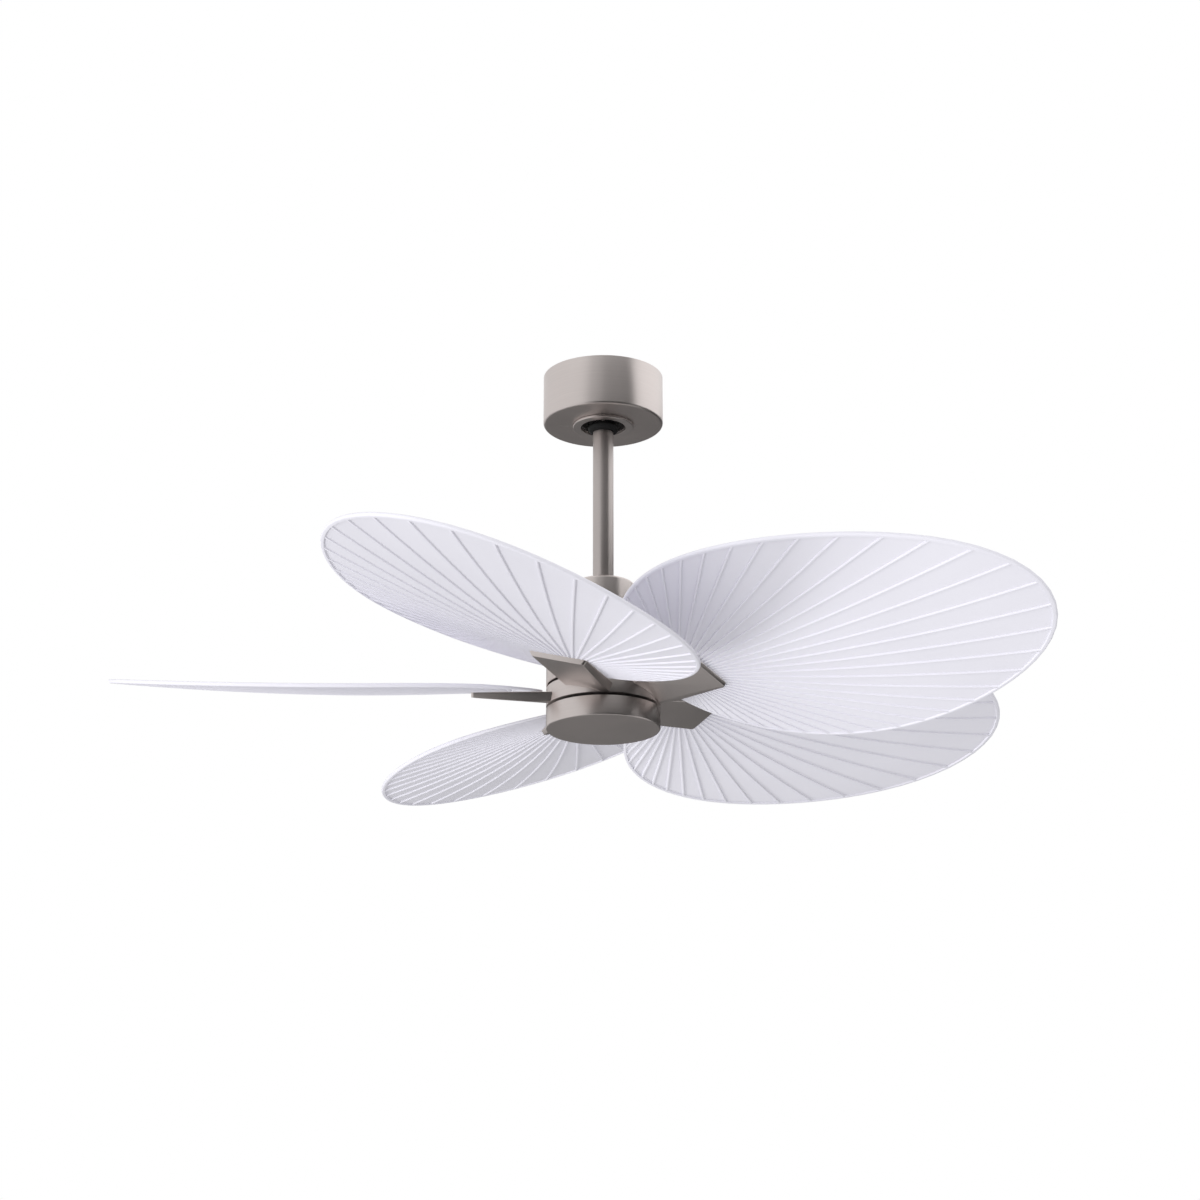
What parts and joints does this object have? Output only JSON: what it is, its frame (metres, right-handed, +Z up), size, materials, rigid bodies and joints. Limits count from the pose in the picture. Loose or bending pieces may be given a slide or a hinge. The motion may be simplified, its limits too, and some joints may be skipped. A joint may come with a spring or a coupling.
{
  "type": "ceiling fan",
  "caption": "Ceiling fan with ribbed palm-leaf blades on a brushed metal hub, hung by a short downrod from a round drum canopy.",
  "frame": {"origin": "centre of the hanger bracket's top face, in the plane of the ceiling, on the rod's axis", "axes": "+Z up out of the ceiling face, along the rod; +X along the hanger bracket's plate; +Y towards the ball seat's open side"},
  "size_m": [1.227, 1.2675, 0.5083],
  "materials": {
    "brushed_nickel": "brushed nickel plate, fine horizontal brushing",
    "zinc_plate": "zinc-plated steel",
    "black_plastic": "matte moulded",
    "black_enamel": "satin black enamel",
    "bearing_steel": "ground steel",
    "electrical_steel": "stacked sheet, varnished",
    "copper_wire": "enamelled copper wire",
    "cast_aluminium": "die cast",
    "ferrite": "sintered magnet",
    "leaf_white": "satin, off-white, ribbed below"
  },
  "bodies": {
    "ceiling_mount": {"hanger_bracket": "black_enamel", "canopy": "brushed_nickel", "canopy_trim_ring": "brushed_nickel", "canopy_screw_1": "zinc_plate", "canopy_screw_2": "zinc_plate", "receiver_module": "black_plastic"},
    "hanging_motor": {"hanger_ball": "black_enamel", "ball_cross_pin": "zinc_plate", "ball_set_screw": "zinc_plate", "downrod": "brushed_nickel", "coupling_cover": "brushed_nickel", "motor_coupling": "black_enamel", "clevis_pin": "zinc_plate", "hairpin_clip": "zinc_plate", "rod_set_screw": "zinc_plate", "shaft_set_screw": "zinc_plate", "upper_housing": "brushed_nickel", "motor_shaft": "bearing_steel", "stator_core": "electrical_steel", "winding_end_upper": "copper_wire", "winding_end_lower": "copper_wire", "bottom_plate": "zinc_plate", "shaft_nut": "zinc_plate", "bottom_cap": "brushed_nickel"},
    "rotor": {"rotor_upper_bell": "cast_aluminium", "magnet_ring": "ferrite", "rotor_ring": "brushed_nickel", "bearing_upper": "bearing_steel", "bearing_lower": "bearing_steel", "blade_arm_1": "brushed_nickel", "arm_screw_1": "zinc_plate", "blade_1": "leaf_white", "blade_1_screw_1": "zinc_plate", "blade_1_screw_2": "zinc_plate", "blade_1_screw_3": "zinc_plate", "blade_arm_2": "brushed_nickel", "arm_screw_2": "zinc_plate", "blade_2": "leaf_white", "blade_2_screw_1": "zinc_plate", "blade_2_screw_2": "zinc_plate", "blade_2_screw_3": "zinc_plate", "blade_arm_3": "brushed_nickel", "arm_screw_3": "zinc_plate", "blade_3": "leaf_white", "blade_3_screw_1": "zinc_plate", "blade_3_screw_2": "zinc_plate", "blade_3_screw_3": "zinc_plate", "blade_arm_4": "brushed_nickel", "arm_screw_4": "zinc_plate", "blade_4": "leaf_white", "blade_4_screw_1": "zinc_plate", "blade_4_screw_2": "zinc_plate", "blade_4_screw_3": "zinc_plate", "blade_arm_5": "brushed_nickel", "arm_screw_5": "zinc_plate", "blade_5": "leaf_white", "blade_5_screw_1": "zinc_plate", "blade_5_screw_2": "zinc_plate", "blade_5_screw_3": "zinc_plate"}
  },
  "joints": [
    {"name": "downrod_swing", "type": "hinge", "parent": "ceiling_mount", "child": "hanging_motor", "pos_m": [0, 0, -0.048], "axis": [1, 0, 0], "range_deg": [-15, 15]},
    {"name": "rotor_spin", "type": "hinge", "parent": "hanging_motor", "child": "rotor", "pos_m": [0, 0, -0.46], "axis": [0, 0, 1], "continuous": true}
  ]
}
